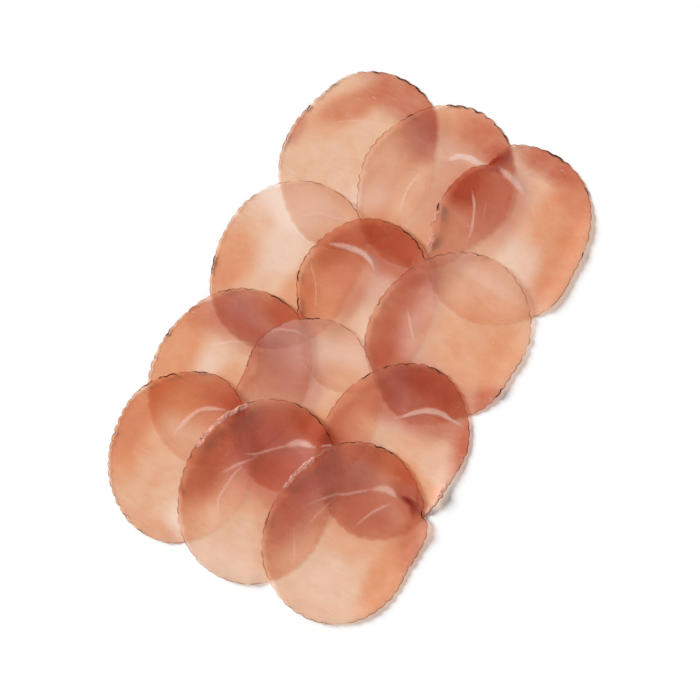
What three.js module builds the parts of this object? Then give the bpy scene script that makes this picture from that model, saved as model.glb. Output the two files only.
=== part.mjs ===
// Sliced cured ham: a portion of twelve thin slices, laid out in four overlapping rows of three.
// Millimetres, +Z up. X runs along the rows and Y from the front row to the back row. The origin is
// in the middle of the portion, on the surface that it lies on.
import * as THREE from "three";

// One slice
const sliceThickness = 0.8;
const airGap = 0.35; // clear height kept between a slice and what lies under it
const scallops = 48; // marks round the rim, left by the net that the ham was cured in
const scallopDepth = 1.1; // from the crown of a scallop to the valleys beside it
const scallopUneven = 0.45; // share of that depth by which one scallop differs from the next

// How a slice lies
const drapeSlope = 0.22; // how steeply a limp slice falls beyond the rim under it
const swellHeight = 0.3; // broad swells of a slice that isn't pressed flat
const ruffleHeight = 0.3; // short ruffles along the rim
const rufflesRound = 11;
const rimBand = 0.22; // share of the reach, inside the rim, that ruffles and curls take up

// Rings of corners from the rim inwards: share of the reach, and corners in the ring
const rings = [
  { share: 1, corners: 2 * scallops },
  { share: 0.91, corners: 72 },
  { share: 0.76, corners: 48 },
  { share: 0.58, corners: 32 },
  { share: 0.38, corners: 18 },
  { share: 0.18, corners: 8 },
];

// Map of the pile's upper side, used to lay one slice on the others
const mapCell = 1;
const mapCells = 340;

// The slices in the order in which they are laid down. at is the middle of a slice, and reach is how
// far the rim is from there, every 30 degrees, counterclockwise from the direction of the row.
// dents draw the rim in and curls lift it: angle in degrees, size, and half width in degrees.
const slices = [
  {
    name: "row1_left_slice",
    at: [-48.5, 101],
    reach: [45.5, 44.5, 52, 52, 48.5, 41.5, 41.5, 45.5, 50.5, 56.5, 52, 47],
    colour: 0xdb9a72,
  },
  {
    name: "row1_middle_slice",
    at: [0, 106.5],
    reach: [43, 45, 49.5, 50.5, 47, 43.5, 44.5, 45.5, 50.5, 50.5, 46, 40],
    curls: [[20, 1.2, 25]],
    colour: 0xd99a76,
  },
  {
    name: "row1_right_slice",
    at: [50.5, 101.5],
    reach: [43, 46.5, 52.5, 54, 52.5, 45.5, 45, 46.5, 53.5, 54.5, 50.5, 47.5],
    dents: [[133, 6, 17]],
    curls: [
      [132, 2.4, 12],
      [200, 1.6, 16],
    ],
    colour: 0xd88f6c,
  },
  {
    name: "row2_left_slice",
    at: [-56, 28.5],
    reach: [39.5, 44.5, 49, 49, 46, 42.5, 40.5, 43.5, 51, 54, 49.5, 44.5],
    colour: 0xe3b08c,
  },
  {
    name: "row2_middle_slice",
    at: [-4.5, 27],
    reach: [39, 40.5, 43, 49, 50, 46, 43.5, 39, 45, 53, 49.5, 43],
    curls: [[70, 1.2, 24]],
    colour: 0xd07a5a,
  },
  {
    name: "row2_right_slice",
    at: [46.5, 31.5],
    reach: [43, 48.5, 52.5, 53.5, 49.5, 45.5, 45, 47.5, 48.5, 53.5, 47.5, 45],
    curls: [[60, 1.1, 40]],
    colour: 0xdba07c,
  },
  {
    name: "row3_left_slice",
    at: [-55, -46.5],
    reach: [45, 48, 53, 53.5, 50, 44.5, 43.5, 46.5, 52, 55.5, 51, 46],
    colour: 0xdd9f7a,
  },
  {
    name: "row3_middle_slice",
    at: [-8, -40.5],
    reach: [43, 42.5, 45, 51, 50, 47, 40, 44, 48, 53.5, 50, 45],
    curls: [[174, 1.8, 12]],
    colour: 0xc98468,
  },
  {
    name: "row3_right_slice",
    at: [52, -38.5],
    reach: [35.5, 40.5, 46, 52, 50, 46.5, 45.5, 48, 52, 55.5, 49, 38.5],
    curls: [[337, 2.2, 18]],
    colour: 0xcf8562,
  },
  {
    name: "row4_left_slice",
    at: [-58, -101],
    reach: [43.5, 41.5, 45.5, 52, 48.5, 45.5, 41, 41.5, 44.5, 49, 50, 46.5],
    colour: 0xdea47f,
  },
  {
    name: "row4_middle_slice",
    at: [-9.5, -98],
    reach: [45, 45.5, 52.5, 56, 52.5, 46.5, 43.5, 45, 50, 53.5, 53.5, 49.5],
    curls: [[142, 2, 20]],
    colour: 0xcb8266,
  },
  {
    name: "row4_right_slice",
    at: [47, -95.5],
    reach: [42.5, 48, 50.5, 54.5, 52.5, 46.5, 44.5, 47.5, 51.5, 53.5, 52, 47],
    dents: [[42, 4, 5]],
    curls: [
      [149, 2, 22],
      [30, 1.4, 12],
    ],
    colour: 0xca7d5f,
  },
];

const fullTurn = 2 * Math.PI;

// A value from 0 to 1 that is always the same for the same three whole numbers.
function steadyRandom(a, b, c) {
  const value = Math.sin(a * 12.9898 + b * 78.233 + c * 37.719) * 43758.5453;
  return value - Math.floor(value);
}

function smoothStep(value) {
  const t = THREE.MathUtils.clamp(value, 0, 1);
  return t * t * (3 - 2 * t);
}

// 1 at an angle in degrees, falling to 0 at halfWidth degrees on either side of it.
function around(angle, middle, halfWidth) {
  const away = Math.abs(((angle - middle + 540) % 360) - 180);
  return smoothStep(1 - away / halfWidth);
}

// How far the even rim of a slice is from its middle: a smooth curve through the sizes in its reach.
function reachAt(slice, turn) {
  const count = slice.reach.length;
  const along = (turn / fullTurn) * count;
  const first = Math.floor(along);
  const t = along - first;
  const [before, start, end, after] = [-1, 0, 1, 2].map((step) => slice.reach[(first + step + count) % count]);
  const slope = (end - before) / 2;
  const bend = before - 2.5 * start + 2 * end - after / 2;
  const twist = 1.5 * (start - end) + (after - before) / 2;
  return start + t * (slope + t * (bend + t * twist));
}

// How far a corner of the rim stands out from the even rim: scallops, less the dents there.
function rimStep(slice, sliceNumber, corner, angle) {
  const scallop = Math.floor(corner / 2);
  const uneven = 1 + scallopUneven * (2 * steadyRandom(sliceNumber, scallop, 1) - 1);
  const side = corner % 2 === 0 ? -0.5 : 0.5;
  const dents = slice.dents ?? [];
  const drawnIn = dents.reduce((sum, [middle, depth, width]) => sum + depth * around(angle, middle, width), 0);
  return side * scallopDepth * uneven - drawnIn;
}

// Height that a slice's own form adds to what it lies on: swells, ruffles and curls, never below 0.
function ownHeight(slice, sliceNumber, share, turn) {
  const phase = fullTurn * steadyRandom(sliceNumber, 3, 2);
  const swell = (swellHeight * (1 + Math.sin(2 * turn + phase))) / 2;
  const ruffle = (ruffleHeight * (1 + Math.sin(rufflesRound * turn + 3 * phase))) / 2;
  const angle = THREE.MathUtils.radToDeg(turn);
  const curls = slice.curls ?? [];
  const curl = curls.reduce((sum, [middle, height, width]) => sum + height * around(angle, middle, width), 0);
  return swell * smoothStep(share) + (ruffle + curl) * smoothStep((share - 1 + rimBand) / rimBand);
}

// The corners of a slice seen from above, ring by ring, with the last one in the middle.
function layOutCorners(slice, sliceNumber) {
  const [middleX, middleY] = slice.at;
  const corners = [];
  const ringStarts = [];
  for (const ring of rings) {
    ringStarts.push(corners.length);
    for (let i = 0; i < ring.corners; i += 1) {
      const turn = (i * fullTurn) / ring.corners;
      const step = ring.share === 1 ? rimStep(slice, sliceNumber, i, THREE.MathUtils.radToDeg(turn)) : 0;
      const far = ring.share * reachAt(slice, turn) + step;
      const own = ownHeight(slice, sliceNumber, ring.share, turn);
      corners.push({ x: middleX + far * Math.cos(turn), y: middleY + far * Math.sin(turn), z: 0, own });
    }
  }
  ringStarts.push(corners.length);
  corners.push({ x: middleX, y: middleY, z: 0, own: 0 });
  return { corners, ringStarts };
}

// Triangles of one face, counterclockwise seen from above, between each ring and the next one in.
function stitchRings(ringStarts) {
  const triangles = [];
  for (let r = 0; r < rings.length; r += 1) {
    const outerCount = rings[r].corners;
    const innerCount = r + 1 < rings.length ? rings[r + 1].corners : 1;
    const outer = (i) => ringStarts[r] + (i % outerCount);
    const inner = (i) => ringStarts[r + 1] + (i % innerCount);
    let o = 0;
    let i = 0;
    while (o < outerCount || (innerCount > 1 && i < innerCount)) {
      const outerIsNext = innerCount === 1 || (o + 1) / outerCount <= (i + 1) / innerCount;
      if (outerIsNext) {
        triangles.push([outer(o), outer(o + 1), inner(i)]);
        o += 1;
      } else {
        triangles.push([outer(o), inner(i + 1), inner(i)]);
        i += 1;
      }
    }
  }
  return triangles;
}

function mapIndex(column, row) {
  return row * mapCells + column;
}

// Calls visit(index, weights) for each cell of the map whose middle is in a triangle.
function eachCellIn(triangle, visit) {
  const [a, b, c] = triangle;
  const toCell = (value) => value / mapCell + mapCells / 2;
  const columns = [a.x, b.x, c.x].map(toCell);
  const rows = [a.y, b.y, c.y].map(toCell);
  const area = (b.x - a.x) * (c.y - a.y) - (c.x - a.x) * (b.y - a.y);
  for (let row = Math.floor(Math.min(...rows)); row <= Math.ceil(Math.max(...rows)); row += 1) {
    for (let column = Math.floor(Math.min(...columns)); column <= Math.ceil(Math.max(...columns)); column += 1) {
      const x = (column - mapCells / 2) * mapCell;
      const y = (row - mapCells / 2) * mapCell;
      const weightB = ((x - a.x) * (c.y - a.y) - (c.x - a.x) * (y - a.y)) / area;
      const weightC = ((b.x - a.x) * (y - a.y) - (x - a.x) * (b.y - a.y)) / area;
      const weightA = 1 - weightB - weightC;
      if (Math.min(weightA, weightB, weightC) >= 0) {
        visit(mapIndex(column, row), [weightA, weightB, weightC]);
      }
    }
  }
}

// The map grown by one cell each way, so that a rim between two cells is cleared as well.
function grown(map) {
  const wide = new Float32Array(map);
  for (let row = 1; row < mapCells - 1; row += 1) {
    for (let column = 1; column < mapCells - 1; column += 1) {
      for (let step = 0; step < 9; step += 1) {
        const near = map[mapIndex(column + (step % 3) - 1, row + Math.floor(step / 3) - 1)];
        const here = mapIndex(column, row);
        wide[here] = Math.max(wide[here], near);
      }
    }
  }
  return wide;
}

// What a limp slice follows: the map, falling no more steeply than the drape slope.
function draped(map) {
  const soft = new Float32Array(map);
  const lower = (here, near, distance) => {
    soft[here] = Math.max(soft[here], soft[near] - drapeSlope * mapCell * distance);
  };
  const sweep = (from, to, step) => {
    for (let row = from; row !== to; row += step) {
      for (let column = from; column !== to; column += step) {
        const here = mapIndex(column, row);
        lower(here, mapIndex(column - step, row), 1);
        lower(here, mapIndex(column, row - step), 1);
        lower(here, mapIndex(column - step, row - step), Math.SQRT2);
        lower(here, mapIndex(column + step, row - step), Math.SQRT2);
      }
    }
  };
  sweep(1, mapCells - 1, 1);
  sweep(mapCells - 2, 0, -1);
  return soft;
}

// Lays the corners of a slice on the map, then lifts them where a triangle would still touch.
function settle(corners, triangles, map) {
  const support = grown(map);
  const soft = draped(support);
  for (const corner of corners) {
    const column = Math.round(corner.x / mapCell + mapCells / 2);
    const row = Math.round(corner.y / mapCell + mapCells / 2);
    corner.z = soft[mapIndex(column, row)] + corner.own;
  }
  const rounds = 12;
  for (let round = 0; round < rounds; round += 1) {
    for (const triangle of triangles) {
      const [a, b, c] = triangle.map((i) => corners[i]);
      eachCellIn([a, b, c], (index, [weightA, weightB, weightC]) => {
        const height = weightA * a.z + weightB * b.z + weightC * c.z;
        const missing = support[index] - height;
        if (missing > 0) {
          const spread = missing / (weightA ** 2 + weightB ** 2 + weightC ** 2);
          a.z += spread * weightA;
          b.z += spread * weightB;
          c.z += spread * weightC;
        }
      });
    }
  }
}

// Marks the upper side of a slice on the map, with the air that is kept above it.
function markOnMap(corners, triangles, map) {
  for (const triangle of triangles) {
    const [a, b, c] = triangle.map((i) => corners[i]);
    eachCellIn([a, b, c], (index, [weightA, weightB, weightC]) => {
      const height = weightA * a.z + weightB * b.z + weightC * c.z;
      map[index] = Math.max(map[index], height + sliceThickness + airGap);
    });
  }
}

// A slice as a closed solid: the same triangles above and below, and a wall along the rim.
function sliceGeometry(corners, triangles) {
  const count = corners.length;
  const positions = [];
  for (const corner of corners) {
    positions.push(corner.x, corner.y, corner.z + sliceThickness);
  }
  for (const corner of corners) {
    positions.push(corner.x, corner.y, corner.z);
  }
  const faces = [];
  for (const [a, b, c] of triangles) {
    faces.push(a, b, c);
    faces.push(count + a, count + c, count + b);
  }
  const rimCorners = rings[0].corners;
  for (let i = 0; i < rimCorners; i += 1) {
    const next = (i + 1) % rimCorners;
    faces.push(i, count + i, count + next);
    faces.push(i, count + next, next);
  }
  const geometry = new THREE.BufferGeometry();
  geometry.setAttribute("position", new THREE.Float32BufferAttribute(positions, 3));
  geometry.setIndex(faces);
  geometry.computeVertexNormals();
  return geometry;
}

function buildSlice(slice, sliceNumber, map) {
  const { corners, ringStarts } = layOutCorners(slice, sliceNumber);
  const triangles = stitchRings(ringStarts);
  settle(corners, triangles, map);
  markOnMap(corners, triangles, map);
  const material = new THREE.MeshStandardMaterial({ color: slice.colour, roughness: 0.45, metalness: 0 });
  const mesh = new THREE.Mesh(sliceGeometry(corners, triangles), material);
  mesh.name = slice.name;
  return mesh;
}

// Puts the origin under the middle of the whole portion.
function centre(portion) {
  const box = new THREE.Box3().setFromObject(portion);
  const middle = box.getCenter(new THREE.Vector3());
  portion.position.set(-middle.x, -middle.y, -box.min.z);
}

function buildPortion() {
  const portion = new THREE.Group();
  const map = new Float32Array(mapCells * mapCells);
  slices.forEach((slice, sliceNumber) => portion.add(buildSlice(slice, sliceNumber, map)));
  centre(portion);
  return portion;
}

const group = buildPortion();
export default group;
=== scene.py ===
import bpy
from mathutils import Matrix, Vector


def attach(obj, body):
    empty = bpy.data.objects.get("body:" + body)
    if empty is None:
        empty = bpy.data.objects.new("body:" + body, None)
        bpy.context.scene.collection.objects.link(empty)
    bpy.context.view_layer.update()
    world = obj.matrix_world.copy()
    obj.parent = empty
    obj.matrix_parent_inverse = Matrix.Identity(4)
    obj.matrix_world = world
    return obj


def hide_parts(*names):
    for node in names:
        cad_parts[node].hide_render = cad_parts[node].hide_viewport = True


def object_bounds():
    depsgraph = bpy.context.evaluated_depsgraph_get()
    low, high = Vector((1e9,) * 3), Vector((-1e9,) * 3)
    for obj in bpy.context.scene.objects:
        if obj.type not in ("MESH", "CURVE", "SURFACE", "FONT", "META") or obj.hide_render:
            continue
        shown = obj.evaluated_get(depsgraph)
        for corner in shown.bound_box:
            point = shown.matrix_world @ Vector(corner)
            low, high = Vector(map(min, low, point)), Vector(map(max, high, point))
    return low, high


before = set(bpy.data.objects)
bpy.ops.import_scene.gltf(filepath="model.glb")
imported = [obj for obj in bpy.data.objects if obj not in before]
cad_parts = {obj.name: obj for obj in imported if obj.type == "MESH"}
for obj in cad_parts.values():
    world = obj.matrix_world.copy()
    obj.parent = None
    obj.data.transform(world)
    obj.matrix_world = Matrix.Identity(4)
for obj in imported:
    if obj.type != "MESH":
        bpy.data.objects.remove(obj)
cadBox = [list(corner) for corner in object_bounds()]

# Sliced cured ham: twelve thin, see-through slices in four overlapping rows of three. Each slice of
# the frame is laid again as a fine sheet of meat, with its net-marked rim, seams, crust and colour.

import math

import bmesh
import bpy
import numpy as np
from mathutils import Matrix, Vector
from mathutils.bvhtree import BVHTree

mm = 0.001
fullTurn = 2 * math.pi
scene = bpy.context.scene

# What every slice shares, in millimetres. A pitch is the size of one soft bump of a pattern.
film = {
    "thickness": 0.7,
    "rimRounding": 0.5,  # how far in from the rim the two faces close up
    "rimThinness": 0.35,  # share of the thickness that is left at the rim itself
    "underlay": 0.4,  # from the frame's underside up to the middle of the sheet
    "overshoot": 0.1,  # the most that a sheet may stand above the frame
    "scallopFade": 0.1,  # share of the reach over which the scallops die away inwards
    "scallopRoundness": 0.75,  # below 1 gives full crowns and sharp valleys
    "scallopUnevenPitch": 14,
    "nibble": 0.16,  # dried crumbs that roughen the rim
    "nibbleWidth": 2,
    "wrinkle": 0.1,  # low waves of a moist slice
    "wrinklePitch": 11,
    "pucker": 0.04,
    "puckerPitch": 3.6,
    "gatherHeight": 1.0,  # stretches of the rim that are drawn up into a lumpy rope
    "gatherWidth": 4.4,
    "gatherPitch": 3.3,
    "rufflePitch": 3.4,
    "lumpPitch": 1.3,
    "knotPitch": 2.3,
    "gritPitch": 0.8,
    "lift": 2.1,  # free rims curl off the table on the side away from the light
    "liftWidth": 12,
    "liftPitch": 9,
    "liftTowards": -24,  # degrees
    "crustContrast": 1.6,  # above 1 thins the weak stretches of crust more than the strong ones
    "crustPitch": 2.2,
    "crustWidth": 1.5,
    "crustHeight": 0.22,
    "warp": 2.4,  # how far the coloured zones wander from plain ovals
    "warpPitch": 15,
    "fray": 0.5,  # the same, in small
    "frayPitch": 3,
}

mapHalf = 64  # mm from a slice's middle to the edge of its map of heights

# Rings of a slice from the rim inwards: corners in each ring, and the share of the reach where the
# rings stop and how many there are up to it
ringZones = [
    {"corners": 768, "until": 0.925, "rings": 8},
    {"corners": 384, "until": 0.52, "rings": 21},
    {"corners": 192, "until": 0.26, "rings": 13},
    {"corners": 96, "until": 0.13, "rings": 7},
    {"corners": 48, "until": 0.05, "rings": 5},
]

# Each slice: ovals of own colour as x, y, half width, half height, turn in degrees and strength,
# in mm from the slice's middle; lines as points with width and strength; arcs of the rim as
# middle angle, half width in degrees and strength.
slices = {
    "row1_left_slice": {
        "clear": [(40, -4, 13, 26, 0, 0.85), (0, -42, 34, 16, 0, 0.35), (24, -28, 20, 22, 0, 0.4)],
        "pink": [(30, 27, 13, 14, 0, 0.7)],
        "amber": [(-20, 20, 30, 12, 50, 0.5)],
        "red": [(10, 42, 32, 16, -8, 0.72), (-16, 26, 22, 9, 50, 0.45), (-41, -2, 6, 12, 0, 0.5)],
        "seams": [
            {"through": [(-25, 8), (-19, 13), (-12, 17), (-5, 20), (0, 22), (8, 25)],
             "width": 1.4, "strength": 0.4},
            {"through": [(-26, -10), (-24, -14), (-23, -19)], "width": 1.2, "strength": 0.25},
        ],
        "crust": [(82, 14, 1), (107, 3, 1), (140, 14, 0.5), (164, 4, 0.9), (196, 9, 0.5)],
    },
    "row1_middle_slice": {
        "clear": [(-34, -10, 14, 26, 0, 0.4), (34, -8, 10, 22, 0, 0.3)],
        "pink": [(-24, 24, 16, 18, 0, 0.45), (6, 0, 14, 34, 0, 0.45), (36, 4, 12, 30, 0, 0.4)],
        "amber": [(-6, 42, 34, 12, 0, 0.5), (6, -8, 14, 38, 0, 0.35), (-8, -36, 30, 12, 0, 0.4)],
        "red": [(18, 38, 26, 15, -15, 0.65), (24, 33, 9, 8, 0, 0.7), (14, 6, 10, 15, 10, 0.3),
            (-8, 30, 14, 10, 0, 0.3)],
        "seams": [
            {"through": [(-2, 17), (0.2, 19), (3, 22), (9, 24), (14.3, 24.2), (18.3, 25.5)],
             "width": 2.6, "strength": 1},
            {"through": [(-8, 14), (-4, 17), (2, 20)], "width": 1.6, "strength": 0.4},
            {"through": [(28, 28), (33, 26), (38, 22)], "width": 2.5, "strength": 0.5},
            {"through": [(-11, 7), (-13, 2), (-14.5, -5), (-14.5, -12), (-13, -20), (-13, -26)],
             "width": 1.1, "strength": 0.6},
        ],
        "crust": [(104, 8, 0.9), (90, 6, 0.9), (84, 30, 0.45), (62, 6, 0.8), (138, 3, 1)],
    },
    "row1_right_slice": {
        "clear": [(2, -40, 36, 19, 0, 0.75), (12, -10, 16, 16, 0, 0.2)],
        "pink": [(-16, 12, 20, 28, 0, 0.65), (-28, -26, 16, 22, 0, 0.35)],
        "amber": [(26, 26, 24, 30, -30, 0.7), (36, -8, 14, 28, 0, 0.65), (-14, 6, 16, 28, 0, 0.35)],
        "red": [(2, 49, 26, 11, 0, 0.8), (22, 40, 20, 12, -35, 0.35), (-38, 16, 14, 18, 0, 0.9),
            (-24, 16, 18, 20, 0, 0.35), (30, 0, 16, 40, 0, 0.15)],
        "seams": [
            {"through": [(-25, 33), (-20, 31.2), (-15, 30), (-9.5, 28), (-4, 25)],
             "width": 3.6, "strength": 0.85},
            {"through": [(-12, 34), (-8, 38), (-5, 42)], "width": 2.1, "strength": 0.35},
            {"through": [(-8, 26), (0, 24), (7, 18), (13, 11)], "width": 2.5, "strength": 0.3},
            {"through": [(-33, 16), (-29.5, 11), (-26.5, 6.6), (-23, -1), (-20.5, -9), (-19.4, -19.7)],
             "width": 1.2, "strength": 0.8},
            {"through": [(-22, 16), (-20, 8), (-18, 2), (-18, -2)], "width": 1.1, "strength": 0.4},
        ],
        "folds": [
            {"through": [(-23, 46), (-26, 39), (-29, 33), (-33, 27)], "width": 5, "strength": 1},
            {"through": [(-27, 30.5), (-23, 30), (-19, 30)], "width": 1.0, "strength": 0.8},
            {"through": [(-42, 16), (-44, 9), (-45, 2)], "width": 1.0, "strength": 0.7},
        ],
        "crust": [(86, 10, 1), (106, 16, 0.45), (58, 4, 0.6), (44, 4, 0.6), (14, 2, 0.8), (186, 4, 1)],
        "crinkle": [(200, 22, 1)],
    },
    "row2_left_slice": {
        "clear": [(-16, 36, 30, 20, 0, 0.45), (33, 10, 14, 34, 0, 0.6), (-6, 8, 14, 24, 0, 0.25)],
        "pink": [(-2, -42, 32, 14, 0, 0.38), (30, 18, 14, 22, 0, 0.15)],
        "amber": [(-32, -16, 18, 24, 0, 0.7), (14, -18, 12, 18, 0, 0.55)],
        "red": [(-32, -24, 10, 10, 0, 0.15)],
        "seams": [
            {"through": [(-6, 22), (-5.5, 26), (-2, 31), (5, 33.5), (13, 35.5), (20, 38), (24, 41)],
             "width": 1.5, "strength": 0.55},
            {"through": [(2, 33), (4, 36), (5, 38)], "width": 1.0, "strength": 0.3},
        ],
        "crust": [(211, 9, 0.85), (100, 14, 0.2)],
    },
    "row2_middle_slice": {
        "clear": [(33, 6, 13, 36, 0, 0.85), (6, -40, 28, 18, 0, 0.6), (14, -14, 12, 16, 0, 0.2)],
        "pink": [(-14, 16, 24, 26, 0, 0.5), (4, 36, 26, 16, 0, 0.4)],
        "amber": [(-24, 6, 20, 38, 0, 0.6), (-4, 44, 34, 12, 0, 0.4), (22, -20, 8, 10, 0, 0.3)],
        "red": [(-6, 43, 32, 12, 0, 0.7), (2, 29, 24, 10, 0, 0.75), (-34, 20, 14, 14, 0, 0.45),
            (-8, -4, 6, 16, 0, 0.35), (-20, 30, 16, 14, 0, 0.35)],
        "seams": [
            {"through": [(-35, 21), (-30, 23), (-22, 25), (-15, 25.5), (-9, 23.5), (-4, 20)],
             "width": 2.4, "strength": 1},
            {"through": [(-20, 30), (-10, 31), (2, 30), (11, 28)], "width": 2.5, "strength": 0.25},
            {"through": [(12, 38), (14, 34), (14, 30)], "width": 1.5, "strength": 0.3},
            {"through": [(-42, 12), (-38, 5), (-33, 0), (-29, -6), (-26, -12), (-24, -19)],
             "width": 1.1, "strength": 0.55},
        ],
        "folds": [{"through": [(-35, -18), (-30, -22), (-26, -24)], "width": 1.2, "strength": 0.8}],
        "crust": [(84, 26, 0.9), (165, 10, 0.6), (184, 5, 0.8), (207, 7, 0.9)],
        "crinkle": [(205, 10, 0.3)],
    },
    "row2_right_slice": {
        "clear": [(2, 46, 34, 10, 0, 0.25), (8, -48, 20, 7, 0, 0.6)],
        "pink": [(-28, 6, 18, 34, 0, 0.55), (-10, -40, 24, 14, 0, 0.6), (-10, -24, 34, 12, 0, 0.4)],
        "amber": [(16, 2, 30, 30, 0, 0.5), (34, 8, 14, 28, 0, 0.4)],
        "red": [(39, -20, 10, 12, 15, 0.75), (26, -28, 18, 12, 30, 0.4), (-35, -22, 16, 20, 0, 0.6),
            (-6, -27, 34, 8, 0, 0.5), (-34, 12, 12, 24, 0, 0.4)],
        "seams": [
            {"through": [(-30, 6), (-26, 2), (-22, -3), (-18, -8), (-14, -13)],
             "width": 1.1, "strength": 0.6},
            {"through": [(-28, 14), (-26, 18), (-24, 22)], "width": 1.4, "strength": 0.35},
            {"through": [(-21, 24), (-18, 28), (-14, 32)], "width": 1.5, "strength": 0.35},
            {"through": [(22, 12), (23, 0), (26, -14), (31, -28)], "width": 1.2, "strength": 0.3},
            {"through": [(10, 40), (20, 38), (28, 30)], "width": 1.9, "strength": 0.2},
        ],
        "crust": [(112, 20, 0.55), (180, 4, 0.7), (343, 6, 1), (12, 14, 0.3)],
    },
    "row3_left_slice": {
        "clear": [(2, -42, 34, 17, 0, 0.65), (34, -8, 14, 26, 0, 0.45), (-14, -2, 9, 14, 0, 0.2)],
        "pink": [(-4, 37, 32, 17, 0, 0.75), (28, 24, 16, 22, 0, 0.45)],
        "amber": [(-33, 0, 15, 36, 0, 0.7), (4, -6, 12, 16, 0, 0.55), (8, 46, 18, 10, 0, 0.4)],
        "red": [(14, 46, 14, 10, 0, 0.65), (-2, 24, 30, 10, 0, 0.45), (-28, 26, 14, 14, 0, 0.4)],
        "seams": [
            {"through": [(-22, 6), (-14, 13), (-6, 19), (0, 22), (6, 24)], "width": 1.6, "strength": 0.5},
        ],
        "crust": [(84, 7, 1), (104, 4, 0.6), (121, 6, 0.7), (172, 4, 0.8), (190, 6, 0.5), (150, 10, 0.4)],
    },
    "row3_middle_slice": {
        "clear": [(-24, 30, 24, 18, 0, 0.6), (34, 12, 14, 32, 0, 0.6), (18, -32, 24, 18, 0, 0.6),
            (2, 44, 32, 14, 0, 0.4), (-30, -20, 12, 16, 0, 0.3)],
        "pink": [(-20, 4, 20, 26, 0, 0.45), (-1, 10, 9, 16, 0, 0.55), (-8, -32, 22, 16, 0, 0.35)],
        "amber": [(13, -8, 18, 11, -10, 0.6), (10, 6, 14, 14, 0, 0.25)],
        "red": [(-41, 8, 7, 18, 0, 0.6)],
        "seams": [
            {"through": [(-38, 28), (-32, 32), (-25, 35), (-17, 36)], "width": 1.7, "strength": 0.75},
            {"through": [(-11, 28), (-10, 24), (-7, 21)], "width": 1.5, "strength": 0.4},
            {"through": [(-27, -2), (-28, -7), (-28.5, -12)], "width": 1.4, "strength": 0.4},
        ],
        "crust": [(113, 6, 0.9), (167, 9, 0.6)],
        "crinkle": [(176, 9, 0.5)],
    },
    "row3_right_slice": {
        "clear": [(10, -42, 28, 14, 0, 0.35), (24, 2, 12, 10, 0, 0.2)],
        "pink": [(-6, 30, 32, 22, 0, 0.65), (-18, -20, 18, 20, 0, 0.75), (6, -44, 30, 13, 0, 0.4),
            (-34, -10, 12, 24, 0, 0.4)],
        "amber": [(-32, 8, 14, 34, 0, 0.4), (10, 44, 30, 12, 0, 0.4), (16, -10, 20, 7, -15, 0.5),
            (12, 4, 22, 12, 0, 0.3)],
        "red": [(36, 20, 12, 25, 10, 0.85), (8, 42, 36, 15, 0, 0.72), (-22, 22, 14, 12, 0, 0.5),
            (8, 22, 26, 10, 5, 0.6), (-36, 6, 10, 34, 0, 0.35), (20, -20, 18, 4, -10, 0.3)],
        "seams": [
            {"through": [(-10, 16), (-5, 20), (0, 25), (5, 28.5), (12, 30.5), (18, 30), (26, 29.5)],
             "width": 2.5, "strength": 1},
            {"through": [(12, 12), (20, 20), (28, 25)], "width": 1.6, "strength": 0.25},
            {"through": [(2, 1), (10, 6), (18, 14)], "width": 1.4, "strength": 0.2},
            {"through": [(-6, 31), (-2, 33), (1, 34)], "width": 1.4, "strength": 0.3},
        ],
        "folds": [
            {"through": [(13, -24), (19, -23), (26, -25), (31, -26)], "width": 3, "strength": 0.7},
            {"through": [(-41, -8), (-40, -14), (-37, -19)], "width": 3, "strength": 0.6},
        ],
        "crust": [(92, 9, 1), (119, 12, 0.9), (142, 5, 1), (30, 26, 0.5), (330, 12, 0.5)],
        "crinkle": [(338, 24, 0.9)],
    },
    "row4_left_slice": {
        "clear": [(38, -4, 14, 38, 0, 0.85), (24, -28, 16, 16, 0, 0.45)],
        "pink": [(18, 6, 16, 24, 0, 0.4), (8, 34, 20, 12, 0, 0.35)],
        "amber": [(-34, 0, 16, 40, 0, 0.75), (-16, 34, 26, 16, 0, 0.6), (-14, -14, 18, 24, 0, 0.3),
            (-2, -44, 30, 9, 0, 0.4)],
        "red": [(14, 44, 15, 12, 0, 0.7), (-36, 8, 13, 28, 0, 0.35), (-4, 44, 22, 10, 0, 0.35)],
        "seams": [
            {"through": [(13, 37), (5, 34.5), (-2, 30.5), (-6, 24.5), (-8.5, 16.5), (-10, 9.5)],
             "width": 2.2, "strength": 0.8},
        ],
        "crust": [(127, 8, 1), (144, 8, 0.7), (104, 5, 0.7), (77, 5, 0.6), (190, 14, 0.45),
            (262, 12, 0.6), (222, 14, 0.35)],
    },
    "row4_middle_slice": {
        "clear": [(4, -44, 26, 9, 0, 0.15), (36, -16, 10, 18, 0, 0.3)],
        "pink": [(0, 24, 40, 28, 0, 0.85), (34, 12, 13, 26, 0, 0.35), (-20, 4, 20, 20, 0, 0.4)],
        "amber": [(-34, -4, 14, 36, 0, 0.5), (10, 48, 28, 10, 0, 0.3), (0, -4, 34, 14, 0, 0.35)],
        "red": [(14, 48, 26, 10, 0, 0.7), (6, 10, 20, 18, 0, 0.55), (-8, 26, 30, 22, 0, 0.45),
            (26, 40, 12, 12, 0, 0.6), (-36, 2, 12, 30, 0, 0.5), (20, -12, 14, 20, 0, 0.25)],
        "seams": [
            {"through": [(18.5, 38), (12, 37), (6.8, 34.8), (2, 30)], "width": 3.4, "strength": 0.9},
            {"through": [(7, 35), (3, 31), (-1, 28), (-5, 24.5), (-10, 20), (-15, 17), (-19, 15)],
             "width": 1.5, "strength": 0.65},
            {"through": [(-8, 20), (-12, 15), (-18, 8), (-22, 2), (-26, -3)],
             "width": 1.6, "strength": 0.55},
            {"through": [(-13, 12), (-16, 5), (-17, -2), (-18, -12), (-15, -20), (-11, -27)],
             "width": 1.2, "strength": 0.6},
            {"through": [(20, 40), (24, 43), (28, 45)], "width": 1.5, "strength": 0.6},
        ],
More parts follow.
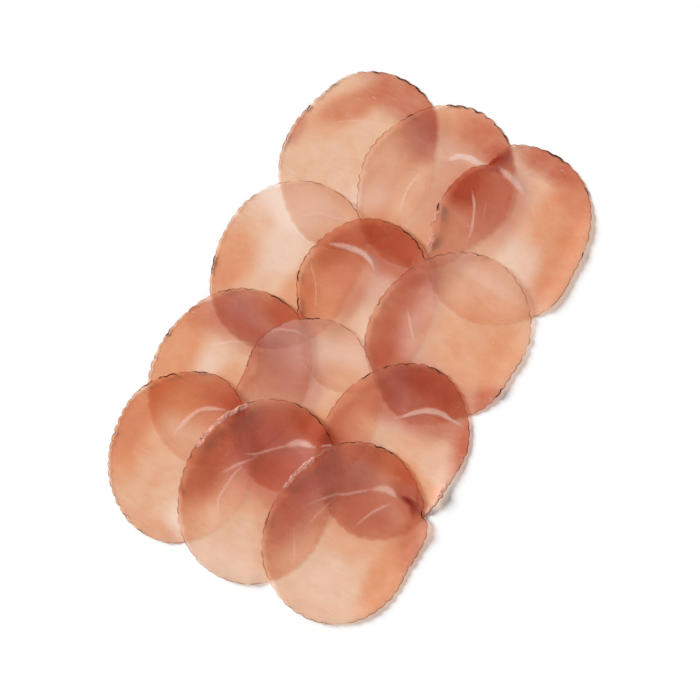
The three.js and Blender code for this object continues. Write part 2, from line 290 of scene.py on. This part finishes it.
        "folds": [
            {"through": [(19, 51), (23, 48), (27, 45)], "width": 2.5, "strength": 0.7},
            {"through": [(-41, -14), (-39, -18), (-35, -24)], "width": 1.4, "strength": 0.8},
        ],
        "crust": [(80, 20, 0.8), (123, 6, 0.6), (170, 14, 0.6), (265, 14, 0.3)],
        "crinkle": [(146, 29, 1)],
    },
    "row4_right_slice": {
        "clear": [(2, -30, 26, 18, 0, 0.1)],
        "pink": [(-6, 22, 30, 24, 0, 0.6), (-32, 4, 14, 34, 0, 0.5), (22, 38, 18, 12, -30, 0.4)],
        "amber": [(34, -8, 13, 38, 0, 0.7), (2, 48, 28, 10, 0, 0.5), (4, 4, 26, 20, 0, 0.4),
            (-28, 36, 14, 16, 0, 0.4)],
        "red": [(38, 18, 10, 24, 10, 0.6), (4, 50, 26, 9, 0, 0.5), (24, 40, 16, 12, -40, 0.55),
            (6, 18, 28, 16, 0, 0.35), (-36, 2, 12, 32, 0, 0.35)],
        "seams": [
            {"through": [(2, 29.5), (8, 33.5), (13, 34), (18, 32)], "width": 3.6, "strength": 0.85},
            {"through": [(4, 32), (0, 28), (-5, 24), (-10, 20), (-15, 17), (-22, 10), (-30, 1)],
             "width": 1.6, "strength": 0.65},
            {"through": [(-14, 16), (-17, 8), (-20, 0), (-22, -8)], "width": 1.4, "strength": 0.45},
            {"through": [(-27, -12), (-24, -17), (-20, -24), (-16, -30)], "width": 1.1, "strength": 0.5},
            {"through": [(18, 30), (13, 24), (9, 18), (6, 12), (3, 5)], "width": 1.5, "strength": 0.6},
        ],
        "folds": [
            {"through": [(17, 34.5), (22, 34), (27, 33), (30, 29), (32, 26)], "width": 3, "strength": 1},
            {"through": [(24, 46), (28, 39), (32, 31)], "width": 1.4, "strength": 0.6},
            {"through": [(-44.5, -10), (-43, -15), (-40.5, -20)], "width": 1.4, "strength": 0.8},
        ],
        "crust": [(92, 8, 1), (115, 7, 0.6), (40, 5, 0.9), (256, 8, 0.4), (195, 8, 0.6)],
        "crinkle": [(148, 28, 1), (0, 14, 0.35)],
    },
}


def steadyGrid(seed, cells=64):
    return np.random.default_rng(seed).uniform(-1, 1, (cells, cells))


# The value of a grid of numbers between its corners, as a smooth curve. The grid repeats at its edges.
def smoothValue(grid, column, row):
    rows, columns = grid.shape
    c0, r0 = np.floor(column).astype(int), np.floor(row).astype(int)
    total = np.zeros(np.shape(column))

    def weights(t):
        first, last = (1 - t) ** 3 / 6, t**3 / 6
        return first, (3 * t**3 - 6 * t**2 + 4) / 6, (-3 * t**3 + 3 * t**2 + 3 * t + 1) / 6, last

    across, up = weights(column - c0), weights(row - r0)
    for j in range(4):
        for i in range(4):
            total += up[j] * across[i] * grid[(r0 + j - 1) % rows, (c0 + i - 1) % columns]
    return total


def smoothNoise(x, y, pitch, seed):
    return smoothValue(steadyGrid(seed), x / pitch, y / pitch)


def smoothStep(value):
    t = np.clip(value, 0, 1)
    return t * t * (3 - 2 * t)


# A flat disc of rings round one point, closed by a second disc behind it. Radius 1 is the rim.
def sliceBlank():
    bm = bmesh.new()
    loops = []
    start = 1.0
    for zone in ringZones:
        for share in np.linspace(start, zone["until"], zone["rings"], endpoint=False):
            made = bmesh.ops.create_circle(bm, segments=zone["corners"], radius=share)
            loops.append(list({edge for corner in made["verts"] for edge in corner.link_edges}))
        start = zone["until"]
    for outer, inner in zip(loops, loops[1:]):
        bmesh.ops.bridge_loops(bm, edges=outer + inner)
    bmesh.ops.holes_fill(bm, edges=loops[-1], sides=0)
    hub = [face for face in bm.faces if len(face.verts) > 4]
    bmesh.ops.poke(bm, faces=hub)
    bmesh.ops.triangulate(bm, faces=bm.faces[:])
    isTop = bm.verts.layers.int.new("isTop")
    made = bmesh.ops.extrude_face_region(bm, geom=bm.faces[:], use_keep_orig=True)
    for item in made["geom"]:
        if isinstance(item, bmesh.types.BMVert):
            item[isTop] = 1
            item.co.z = 0.01
    bmesh.ops.recalc_face_normals(bm, faces=bm.faces[:])
    blank = bpy.data.meshes.new("sliceBlank")
    bm.to_mesh(blank)
    bm.free()
    return blank


def readCorners(mesh):
    places = np.zeros(len(mesh.vertices) * 3)
    mesh.vertices.foreach_get("co", places)
    return places.reshape(-1, 3)


# The frame's slice as merged corners: its middle, its rim all round, and a tree for heights.
def readSlice(node):
    bm = bmesh.new()
    bm.from_mesh(node.data)
    bmesh.ops.remove_doubles(bm, verts=bm.verts[:], dist=1e-6)
    upright = [e for e in bm.edges if (e.verts[0].co - e.verts[1].co).xy.length < 1e-6]
    rim = np.array([e.verts[0].co[:2] for e in upright]) / mm
    corners = np.array([v.co[:2] for v in bm.verts]) / mm
    nearest = np.argmin(np.hypot(*(corners - rim.mean(axis=0)).T))
    middle = corners[nearest]
    away = rim - middle
    order = np.argsort(np.arctan2(away[:, 1], away[:, 0]) % fullTurn)
    tree = BVHTree.FromBMesh(bm)
    bm.free()
    return middle, np.hypot(away[:, 0], away[:, 1])[order], tree


# The underside's height over a grid of 1 mm cells, filled outwards past the rim and softened, and
# where the slice is at all.
def undersideMap(tree, middle):
    half = mapHalf
    span = np.arange(-half, half)
    heights = np.full((2 * half, 2 * half), np.nan)
    for row, y in enumerate(span):
        for column, x in enumerate(span):
            spot = Vector(((middle[0] + x) * mm, (middle[1] + y) * mm, -1))
            hit = tree.ray_cast(spot, Vector((0, 0, 1)))[0]
            if hit is not None:
                heights[row, column] = hit.z / mm
    inside = (~np.isnan(heights)).astype(float)
    while np.isnan(heights).any():
        near = np.stack([np.roll(heights, step, axis) for axis in (0, 1) for step in (-1, 1)])
        known = ~np.isnan(near)
        mean = np.where(known, near, 0).sum(axis=0) / np.maximum(known.sum(axis=0), 1)
        fill = np.isnan(heights) & known.any(axis=0)
        heights[fill] = mean[fill]
    for softening in range(4):
        for axis in (0, 1):
            heights = 0.25 * np.roll(heights, 1, axis) + 0.5 * heights + 0.25 * np.roll(heights, -1, axis)
    return heights, inside


# How far the rim is at each turn: an even curve, and the scallops that stand on it.
def rimReach(reach, turn):
    count = len(reach)
    even = (np.roll(reach, 1) + 2 * reach + np.roll(reach, -1)) / 4
    even = (np.roll(even, 1) + 2 * even + np.roll(even, -1)) / 4
    along = turn / fullTurn * count
    evenReach = smoothValue(np.tile(even, (4, 1)), along, np.zeros_like(along))
    offset = reach - even
    if offset[::2].mean() > offset[1::2].mean():
        offset, along = np.roll(offset, -1), along - 1
    valley, crown = offset[::2], offset[1::2]
    scallop = np.floor(along / 2).astype(int) % len(valley)
    share = along / 2 - np.floor(along / 2)
    following = (scallop + 1) % len(valley)
    base = valley[scallop] * (1 - share) + valley[following] * share
    rise = crown[scallop] - (valley[scallop] + valley[following]) / 2
    return evenReach, base + rise * np.sin(math.pi * share) ** film["scallopRoundness"]


# Strength of a list of soft ovals at each place.
def ovals(rows, x, y):
    left = np.ones_like(x)
    for atX, atY, halfWidth, halfHeight, turn, strength in rows:
        c, s = math.cos(math.radians(turn)), math.sin(math.radians(turn))
        across = ((x - atX) * c + (y - atY) * s) / halfWidth
        up = ((y - atY) * c - (x - atX) * s) / halfHeight
        left *= 1 - strength * smoothStep(1.55 - 1.2 * np.hypot(across, up))
    return 1 - left


# Strength of a list of soft lines: 1 along the middle of a line, 0 at its width to either side.
def strokes(rows, x, y):
    best = np.zeros_like(x)
    for row in rows:
        points = np.array(row["through"], float)
        steps = np.linspace(0, len(points) - 1, 8 * len(points))
        padded = np.vstack([2 * points[0] - points[1], points, 2 * points[-1] - points[-2]])
        k = np.minimum(steps.astype(int), len(points) - 2)
        t = (steps - k)[:, None]
        p0, p1, p2, p3 = (padded[k + i] for i in range(4))
        path = 0.5 * (2 * p1 + t * (p2 - p0) + t**2 * (2 * p0 - 5 * p1 + 4 * p2 - p3)
                      + t**3 * (3 * (p1 - p2) + p3 - p0))
        nearest = np.full(x.shape, 1e9)
        shareThere = np.zeros_like(x)
        for i in range(len(path) - 1):
            leg = path[i + 1] - path[i]
            along = np.clip(((x - path[i, 0]) * leg[0] + (y - path[i, 1]) * leg[1]) / (leg @ leg), 0, 1)
            away = np.hypot(x - path[i, 0] - along * leg[0], y - path[i, 1] - along * leg[1])
            closer = away < nearest
            nearest = np.where(closer, away, nearest)
            shareThere = np.where(closer, (i + along) / (len(path) - 1), shareThere)
        taper = smoothStep(2.6 * np.minimum(shareThere, 1 - shareThere) + 0.15)
        uneven = 1 + 0.4 * smoothNoise(x, y, 3.5, 9)
        width = row["width"] * (0.35 + 0.65 * taper) * uneven
        strength = row["strength"] * (0.45 + 0.55 * taper)
        best = np.maximum(best, strength * np.clip(1 - nearest / width, 0, 1))
    return best


# Strength of a list of arcs of the rim at each angle in degrees.
def arcs(rows, angle):
    best = np.zeros_like(angle)
    for middle, halfWidth, strength in rows:
        away = np.abs((angle - middle + 180) % 360 - 180)
        best = np.maximum(best, strength * smoothStep(1.8 * (1.15 - away / halfWidth)))
    return best


# How far each place of a slice lies under another slice, from 0 to 1.
def coverAbove(name, maps, x, y, height):
    cover = np.zeros_like(x)
    for other, (middle, reach, heights, inside) in maps.items():
        if other != name:
            column, row = x - middle[0] + mapHalf, y - middle[1] + mapHalf
            near = (abs(column - mapHalf) < mapHalf - 2) & (abs(row - mapHalf) < mapHalf - 2)
            there = smoothValue(inside, column[near], row[near])
            higher = smoothValue(heights, column[near], row[near]) > height[near]
            cover[near] = np.maximum(cover[near], there * higher)
    return cover


# 1 where a place is well clear of every other slice, 0 where it touches one.
def farFromOthers(name, maps, x, y):
    clear = np.ones_like(x)
    for other, (middle, reach, heights, inside) in maps.items():
        if other != name:
            awayX, awayY = x - middle[0], y - middle[1]
            turn = np.arctan2(awayY, awayX) % fullTurn
            gap = np.hypot(awayX, awayY) - np.interp(turn / fullTurn * len(reach), range(len(reach)), reach)
            clear *= smoothStep(gap / film["liftWidth"])
    return clear


# Places the sheet's corners and gives back what the colours are painted from.
def shapeSheet(number, name, dials, blank, maps, mesh):
    middle, reach, heights, inside = maps[name]
    seed = 100 * (number + 1)
    flat = readCorners(blank)
    isTop = np.zeros(len(flat), int)
    blank.attributes["isTop"].data.foreach_get("value", isTop)
    share = np.hypot(flat[:, 0], flat[:, 1])
    turn = np.arctan2(flat[:, 1], flat[:, 0]) % fullTurn
    angle = np.degrees(turn)
    evenReach, scallop = rimReach(reach, turn)
    rimLength = turn * evenReach.mean()
    inMm = (1 - share) * evenReach

    def alongRim(pitch, draw):
        return smoothNoise(rimLength, np.zeros_like(turn), pitch, seed + draw)

    # Seen from above
    scallop *= 0.6 + 0.4 * alongRim(film["scallopUnevenPitch"], -50)
    crust = arcs(dials.get("crust", []), angle) ** film["crustContrast"]
    crust *= np.clip(0.75 + 0.8 * alongRim(film["crustPitch"], 9), 0.15, 1)
    crinkle = arcs(dials.get("crinkle", []), angle)
    crinkle *= 0.75 + 0.5 * alongRim(film["gatherPitch"], 8)
    across = inMm / film["gatherWidth"] / (0.45 + 0.55 * crinkle)
    rope = crinkle * np.sqrt(1 - (2 * np.clip(across, 0, 1) - 1) ** 2)
    crinkle *= smoothStep(2.2 * (1 - across))
    lump = smoothNoise(rimLength, inMm, film["lumpPitch"], seed + 1)
    fade = smoothStep((share - 1 + film["scallopFade"]) / film["scallopFade"])
    rough = (0.5 + crust + 5 * crinkle) * lump * smoothStep(1 - inMm / film["nibbleWidth"])
    far = share * evenReach + scallop * fade + film["nibble"] * rough
    x, y = far * np.cos(turn), far * np.sin(turn)
    worldX, worldY = x + middle[0], y + middle[1]

    # Heights
    low = smoothValue(heights, x + mapHalf, y + mapHalf)
    wave = film["wrinkle"] * smoothNoise(worldX, worldY, film["wrinklePitch"], 7)
    wave += film["pucker"] * smoothNoise(worldX, worldY, film["puckerPitch"], 8)
    sway = 2.2 * smoothNoise(rimLength, inMm, 4, seed + 2)
    ruffle = np.sin(fullTurn * rimLength / film["rufflePitch"] + sway)
    grit = smoothNoise(rimLength, 1.6 * inMm, film["gritPitch"], seed + 7)
    knot = smoothNoise(rimLength, 0.7 * inMm, film["knotPitch"], seed + 11)
    lumpy = 0.6 + 0.08 * ruffle + 0.5 * lump + 0.6 * knot + 0.45 * grit
    gathered = np.clip(film["gatherHeight"] * rope * lumpy, 0, None)
    crumbs = crust * (0.5 + lump) * smoothStep(1.2 * (1 - inMm / film["crustWidth"]))
    crumbs = np.clip(film["crustHeight"] * crumbs, 0, None)
    lifted = smoothStep(1.3 * np.cos(turn - math.radians(film["liftTowards"])) + 0.2)
    lifted *= smoothStep(1 - inMm / film["liftWidth"]) * farFromOthers(name, maps, worldX, worldY)
    lifted *= 0.75 + 0.5 * alongRim(film["liftPitch"], 10)
    core = low + film["underlay"] + wave + gathered + crumbs + film["lift"] * lifted
    core = np.maximum(core, film["thickness"] / 2 + 0.02)  # clear of the table
    rounding = np.sqrt(1 - (1 - np.clip(inMm / film["rimRounding"], 0, 1)) ** 2)
    thickness = film["thickness"] * (film["rimThinness"] + (1 - film["rimThinness"]) * rounding)
    z = np.minimum(core + (isTop - 0.5) * thickness, cadBox[1][2] / mm + film["overshoot"])
    mesh.vertices.foreach_set("co", (np.column_stack([worldX, worldY, z]) * mm).ravel())
    marks = {
        "crust": crust,
        "crinkle": crinkle,
        "rimDistance": inMm,
        "valley": np.clip(-scallop, -1, 1),
        "lifted": lifted,
        "cover": coverAbove(name, maps, worldX, worldY, low),
    }
    return x, y, marks


# Paints the marks of the rim, and zones that wander a little, so that no oval shows.
def paintSheet(number, dials, mesh, x, y, marks):
    seed = 100 * (number + 1)
    wanderX = x + film["warp"] * smoothNoise(x, y, film["warpPitch"], seed + 3)
    wanderX += film["fray"] * smoothNoise(x, y, film["frayPitch"], seed + 5)
    wanderY = y + film["warp"] * smoothNoise(x, y, film["warpPitch"], seed + 4)
    wanderY += film["fray"] * smoothNoise(x, y, film["frayPitch"], seed + 6)
    nearX, nearY = (x + wanderX) / 2, (y + wanderY) / 2
    painted = {zone: ovals(dials[zone], wanderX, wanderY) for zone in ("clear", "pink", "amber", "red")}
    painted["seam"] = strokes(dials["seams"], nearX, nearY)
    painted["fold"] = strokes(dials.get("folds", []), nearX, nearY)
    painted |= marks
    for label, values in painted.items():
        attribute = mesh.attributes.new(label, "FLOAT", "POINT")
        attribute.data.foreach_set("value", values.astype(np.float32))
    cut = np.column_stack([x + 37 * number, y + 53 * number, np.zeros_like(x)])  # another cut for each slice
    attribute = mesh.attributes.new("cutPlace", "FLOAT_VECTOR", "POINT")
    attribute.data.foreach_set("vector", cut.astype(np.float32).ravel())


def dressSlice(number, name, dials, blank, maps):
    mesh = blank.copy()
    mesh.name = name + "_sheet"
    x, y, marks = shapeSheet(number, name, dials, blank, maps, mesh)
    paintSheet(number, dials, mesh, x, y, marks)
    mesh.attributes.remove(mesh.attributes["isTop"])
    mesh.shade_smooth()
    mesh.update()
    piece = bpy.data.objects.new(name + "_sheet", mesh)
    scene.collection.objects.link(piece)
    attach(piece, "root")
    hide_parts(name)
    return piece


def linear(hexColour):
    channels = [int(hexColour[i:i + 2], 16) / 255 for i in (1, 3, 5)]
    return [c / 12.92 if c <= 0.04045 else ((c + 0.055) / 1.055) ** 2.4 for c in channels] + [1]


# Adds a node. An input is a fixed value, a node (its first output in use) or a (node, output) pair.
def addNode(tree, kind, inputs, **settings):
    node = tree.nodes.new("ShaderNode" + kind)
    for name, value in settings.items():
        setattr(node, name, value)
    for name, value in inputs.items():
        if isinstance(value, bpy.types.Node):
            tree.links.new(next(output for output in value.outputs if output.enabled), node.inputs[name])
        elif isinstance(value, tuple) and isinstance(value[0], bpy.types.Node):
            tree.links.new(value[0].outputs[value[1]], node.inputs[name])
        else:
            node.inputs[name].default_value = value
    return node


# Cured, air-dried ham cut by machine: a moist film of lean meat that light passes through. It
# tints what lies under it, so two layers look darker and redder than one. Seams of fat and sinew
# are creamy and cloudier, and the dried rim is brown with nearly black crumbs.
ham = {
    "lean": "#EDC3A5",  # colours of the film as seen through on white
    "leanStreaked": "#DEA380",
    "clear": "#FFF3ED",
    "pink": "#CE8C84",
    "amber": "#E2905F",
    "red": "#C56042",
    "fold": "#9E2C24",
    "seam": "#F4D5C8",
    "rim": "#8E4C30",
    "crust": "#702612",
    "fatInside": "#F2D3C6",  # colours of what scatters the light back
    "crustInside": "#5E2814",
    "crinkleInside": "#E0A18D",
    "haze": 0.08,  # share of the light that a face scatters back
    "fleshPaleness": 0.6,  # how much paler that light is than the light that has passed the slice
    "seamHaze": 0.15,
    "crinkleHaze": 0.56,
    "liftedHaze": 0.22,  # a curled rim dries and clouds
    "crustHaze": 0.6,
    "roughness": 0.42,
    "mottling": 0.5,  # how far the lean's strength of colour goes up and down
    "musclePitch": 9,  # mm
    "fibreMark": 0.34,
    "fibrePitch": 1.6,  # mm, across the fibres; drawn twice as coarse as real ones, so that they show
    "fibreLength": 9,  # mm
    "fibreTurn": 62,  # degrees
    "specksPerMm": 1.1,
    "threadPitch": 15,  # mm, fine pale threads of fat
    "threadStrength": 0.12,
    "fleckStrength": 0.4,
    "coveredFade": 1.8,  # mm, a rim pressed under another slice melts into it over this width
    "coveredShow": 0.5,
    "rimStrength": 0.92,
}


def hamMaterial():
    material = bpy.data.materials.new("curedHamAirDriedMachineSliced")
    material.use_nodes = True
    tree = material.node_tree
    tree.nodes.clear()
    painted = {}
    for name in ("clear", "pink", "amber", "red", "seam", "fold", "crust", "crinkle", "rimDistance",
                 "valley", "lifted", "cover"):
        painted[name] = (addNode(tree, "Attribute", {}, attribute_name=name), "Fac")
    cut = (addNode(tree, "Attribute", {}, attribute_name="cutPlace"), "Vector")

    # Muscle mottling and long fibres change how strong each zone's colour is
    mottle = addNode(tree, "TexNoise", {"Vector": cut, "Scale": 1 / ham["musclePitch"], "Detail": 3.0})
    stretched = addNode(tree, "Mapping", {
        "Vector": cut, "Rotation": (0, 0, math.radians(ham["fibreTurn"])),
        "Scale": (1 / ham["fibreLength"], 1 / ham["fibrePitch"], 1)})
    fibres = addNode(tree, "TexNoise", {"Vector": stretched, "Scale": 1.0, "Detail": 3.0})
    specks = addNode(tree, "TexNoise", {"Vector": cut, "Scale": ham["specksPerMm"], "Detail": 2.0})
    steady = 1 - (ham["mottling"] + ham["fibreMark"]) / 2
    vary = addNode(tree, "Math", {0: mottle, 1: ham["mottling"], 2: steady}, operation="MULTIPLY_ADD")
    vary = addNode(tree, "Math", {0: fibres, 1: ham["fibreMark"], 2: vary}, operation="MULTIPLY_ADD")
    streaks = addNode(tree, "MapRange", {
        "Value": vary, "From Min": 0.86, "From Max": 1.2, "To Max": 0.6}, interpolation_type="SMOOTHSTEP")
    colour = addNode(tree, "Mix", {0: streaks, 6: linear(ham["lean"]), 7: linear(ham["leanStreaked"])},
                     data_type="RGBA")
    for name in ("clear", "pink", "amber", "red", "fold"):
        weight = addNode(tree, "Math", {0: painted[name], 1: vary}, operation="MULTIPLY", use_clamp=True)
        colour = addNode(tree, "Mix", {0: weight, 6: colour, 7: linear(ham[name])}, data_type="RGBA")

    # Threads of fat run where a coarse pattern passes its middle value
    threads = addNode(tree, "TexNoise", {
        "Vector": cut, "Scale": 1 / ham["threadPitch"], "Detail": 2.5, "Distortion": 0.6})
    threads = addNode(tree, "Math", {0: threads, 1: 0.5}, operation="SUBTRACT")
    threads = addNode(tree, "Math", {0: threads}, operation="ABSOLUTE")
    threads = addNode(tree, "MapRange", {
        "Value": threads, "From Min": 0.012, "From Max": 0.0, "To Max": ham["threadStrength"]},
        interpolation_type="SMOOTHSTEP")
    broken = addNode(tree, "MapRange", {"Value": mottle, "From Min": 0.44, "From Max": 0.6},
                     interpolation_type="SMOOTHSTEP")
    threads = addNode(tree, "Math", {0: threads, 1: broken}, operation="MULTIPLY")
    seam = addNode(tree, "Math", {0: painted["seam"], 1: vary}, operation="MULTIPLY")
    seam = addNode(tree, "Math", {0: specks, 1: 0.5, 2: seam}, operation="MULTIPLY_ADD")
    seam = addNode(tree, "MapRange", {"Value": seam, "From Min": 0.36, "From Max": 1.02},
                   interpolation_type="SMOOTHSTEP")
    flecks = addNode(tree, "MapRange", {
        "Value": fibres, "From Min": 0.64, "From Max": 0.76, "To Max": ham["fleckStrength"]},
        interpolation_type="SMOOTHSTEP")
    seam = addNode(tree, "Math", {0: seam, 1: threads}, operation="MAXIMUM")
    seam = addNode(tree, "Math", {0: seam, 1: flecks}, operation="MAXIMUM")
    colour = addNode(tree, "Mix", {0: seam, 6: colour, 7: linear(ham["seam"])}, data_type="RGBA")

    # The dried rim: a thin browner line that comes and goes, and crumbs in the net's valleys
    rim = addNode(tree, "MapRange", {
        "Value": painted["rimDistance"], "From Min": 0.85, "From Max": 0.2, "To Max": ham["rimStrength"]},
        interpolation_type="SMOOTHSTEP")
    uneven = addNode(tree, "MapRange", {"Value": mottle, "From Min": 0.36, "From Max": 0.54},
                     interpolation_type="SMOOTHSTEP")
    rim = addNode(tree, "Math", {0: rim, 1: uneven}, operation="MULTIPLY")
    bare = addNode(tree, "Math", {0: painted["cover"], 1: -0.85, 2: 1.0}, operation="MULTIPLY_ADD",
                   use_clamp=True)
    rim = addNode(tree, "Math", {0: rim, 1: bare}, operation="MULTIPLY")
    colour = addNode(tree, "Mix", {0: rim, 6: colour, 7: linear(ham["rim"])}, data_type="RGBA")
    crumbs = addNode(tree, "Math", {0: specks, 1: 1.5}, operation="MULTIPLY")
    crumbs = addNode(tree, "Math", {0: painted["valley"], 1: 0.5, 2: crumbs}, operation="MULTIPLY_ADD")
    band = addNode(tree, "MapRange", {"Value": painted["rimDistance"], "From Min": 1.4, "From Max": 0.25},
                   interpolation_type="SMOOTHSTEP")
    dried = addNode(tree, "Math", {0: painted["crust"], 1: 0.17}, operation="ADD")
    dried = addNode(tree, "Math", {0: dried, 1: band}, operation="MULTIPLY")
    dried = addNode(tree, "Math", {0: dried, 1: crumbs}, operation="MULTIPLY")
    crust = addNode(tree, "MapRange", {"Value": dried, "From Min": 0.16, "From Max": 0.52},
                    interpolation_type="SMOOTHSTEP")
    scorched = addNode(tree, "MapRange", {"Value": specks, "From Min": 0.56, "From Max": 0.66},
                       interpolation_type="SMOOTHSTEP")
    scorched = addNode(tree, "Math", {0: scorched, 1: painted["crinkle"]}, operation="MULTIPLY")
    crust = addNode(tree, "Math", {0: crust, 1: scorched}, operation="MAXIMUM")
    crust = addNode(tree, "Math", {0: crust, 1: bare}, operation="MULTIPLY")
    colour = addNode(tree, "Mix", {0: crust, 6: colour, 7: linear(ham["crust"])}, data_type="RGBA")
    flesh = addNode(tree, "Gamma", {"Color": colour, "Gamma": ham["fleshPaleness"]})

    # Under another slice the film thins out towards its rim
    melt = addNode(tree, "MapRange", {
        "Value": painted["rimDistance"], "From Min": ham["coveredFade"], "From Max": 0.0,
        "To Max": 1 - ham["coveredShow"]}, interpolation_type="SMOOTHSTEP")
    melt = addNode(tree, "Math", {0: melt, 1: painted["cover"]}, operation="MULTIPLY", use_clamp=True)
    colour = addNode(tree, "Mix", {0: melt, 6: colour, 7: (1, 1, 1, 1)}, data_type="RGBA")
    solid = addNode(tree, "Math", {0: 1.0, 1: melt}, operation="SUBTRACT")

    # Light passes four faces on its way down and up, so each face holds the fourth root of the colour
    tint = addNode(tree, "Gamma", {"Color": colour, "Gamma": 0.25})
    through = addNode(tree, "BsdfTransparent", {"Color": tint})

    # The body that scatters light back: weak in the film, strong in fat, gathers and crust
    gathered = addNode(tree, "Math", {0: specks, 1: 1.2, 2: -0.6}, operation="MULTIPLY_ADD")
    gathered = addNode(tree, "Math", {0: gathered, 1: painted["crinkle"]}, operation="ADD")
    gathered = addNode(tree, "MapRange", {"Value": gathered, "From Min": 0.3, "From Max": 1.0},
                       interpolation_type="SMOOTHSTEP")
    fat = addNode(tree, "Math", {0: seam, 1: gathered}, operation="MAXIMUM")
    inside = addNode(tree, "Mix", {0: fat, 6: flesh, 7: linear(ham["fatInside"])}, data_type="RGBA")
    inside = addNode(tree, "Mix", {0: gathered, 6: inside, 7: linear(ham["crinkleInside"])},
                     data_type="RGBA")
    inside = addNode(tree, "Mix", {0: crust, 6: inside, 7: linear(ham["crustInside"])}, data_type="RGBA")
    haze = addNode(tree, "Math", {0: seam, 1: ham["seamHaze"], 2: ham["haze"]}, operation="MULTIPLY_ADD")
    haze = addNode(tree, "Math", {0: gathered, 1: ham["crinkleHaze"], 2: haze}, operation="MULTIPLY_ADD")
    haze = addNode(tree, "Math", {0: painted["lifted"], 1: ham["liftedHaze"], 2: haze},
                   operation="MULTIPLY_ADD")
    haze = addNode(tree, "Math", {0: crust, 1: ham["crustHaze"], 2: haze}, operation="MULTIPLY_ADD",
                   use_clamp=True)
    haze = addNode(tree, "Math", {0: haze, 1: solid}, operation="MULTIPLY")
    matt = addNode(tree, "Math", {0: crust, 1: -0.5, 2: 0.5}, operation="MULTIPLY_ADD")
    grain = addNode(tree, "Math", {0: fibres, 1: 1.5, 2: specks}, operation="MULTIPLY_ADD")
    bump = addNode(tree, "Bump", {"Height": grain, "Strength": 0.5, "Distance": 0.03 * mm})
    gloss = addNode(tree, "MapRange", {
        "Value": specks, "To Min": ham["roughness"] - 0.08, "To Max": ham["roughness"] + 0.08})
    body = addNode(tree, "BsdfPrincipled", {
        "Base Color": inside, "Roughness": gloss, "IOR": 1.4, "Specular IOR Level": matt, "Normal": bump})
    whole = addNode(tree, "MixShader", {0: haze, 1: through, 2: body})
    addNode(tree, "OutputMaterial", {"Surface": whole})
    return material


floorLook = {"size": 4.0, "colour": "#FBFBFB"}


def layFloor():
    bm = bmesh.new()
    bmesh.ops.create_grid(bm, x_segments=1, y_segments=1, size=floorLook["size"] / 2)
    mesh = bpy.data.meshes.new("floor")
    bm.to_mesh(mesh)
    bm.free()
    floor = bpy.data.objects.new("floor", mesh)
    scene.collection.objects.link(floor)
    material = bpy.data.materials.new("whitePaperMatt")
    material.use_nodes = True
    body = material.node_tree.nodes["Principled BSDF"]
    body.inputs["Base Color"].default_value = linear(floorLook["colour"])
    body.inputs["Roughness"].default_value = 1
    body.inputs["Specular IOR Level"].default_value = 0
    mesh.materials.append(material)


# The camera hangs straight above, turned so that the rows run as in the picture.
camera = {"above": (3.0, -2.8), "height": 1600, "seenWidth": 406, "turn": 28, "sensor": 36}
studio = {
    "dome": 0.25,
    "key": {"from": (-0.82, 0.4, 0.54), "spread": 24, "power": 4.85},  # as the camera sees it, degrees
}


def placeCamera():
    data = bpy.data.cameras.new("camera")
    data.sensor_width = camera["sensor"]
    data.lens = camera["sensor"] * camera["height"] / camera["seenWidth"]
    eye = bpy.data.objects.new("camera", data)
    eye.location = (camera["above"][0] * mm, camera["above"][1] * mm, camera["height"] * mm)
    eye.rotation_euler = (0, 0, math.radians(camera["turn"]))
    scene.collection.objects.link(eye)
    scene.camera = eye


def placeLights():
    world = bpy.data.worlds.new("studio")
    world.use_nodes = True
    world.node_tree.nodes["Background"].inputs["Color"].default_value = (1, 1, 1, 1)
    world.node_tree.nodes["Background"].inputs["Strength"].default_value = studio["dome"]
    scene.world = world
    key = studio["key"]
    data = bpy.data.lights.new("keyLight", "SUN")
    data.angle = math.radians(key["spread"])
    data.energy = key["power"]
    lamp = bpy.data.objects.new("keyLight", data)
    towards = Matrix.Rotation(math.radians(camera["turn"]), 3, "Z") @ Vector(key["from"])
    lamp.rotation_euler = towards.to_track_quat("Z", "Y").to_euler()
    scene.collection.objects.link(lamp)
    scene.view_settings.view_transform = "Standard"
    scene.cycles.transparent_max_bounces = 40


placeCamera()
placeLights()
layFloor()
print("camera, lights and floor are set")
blank = sliceBlank()
print("slice blank has", len(blank.vertices), "corners and", len(blank.polygons), "faces")
look = hamMaterial()
maps = {}
for name in slices:
    middle, reach, tree = readSlice(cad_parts[name])
    maps[name] = (middle, reach, *undersideMap(tree, middle))
print("the frame's slices are read")
for number, (name, dials) in enumerate(slices.items()):
    piece = dressSlice(number, name, dials, blank, maps)
    piece.data.materials.append(look)
    print(name, "is dressed")
bpy.data.meshes.remove(blank)
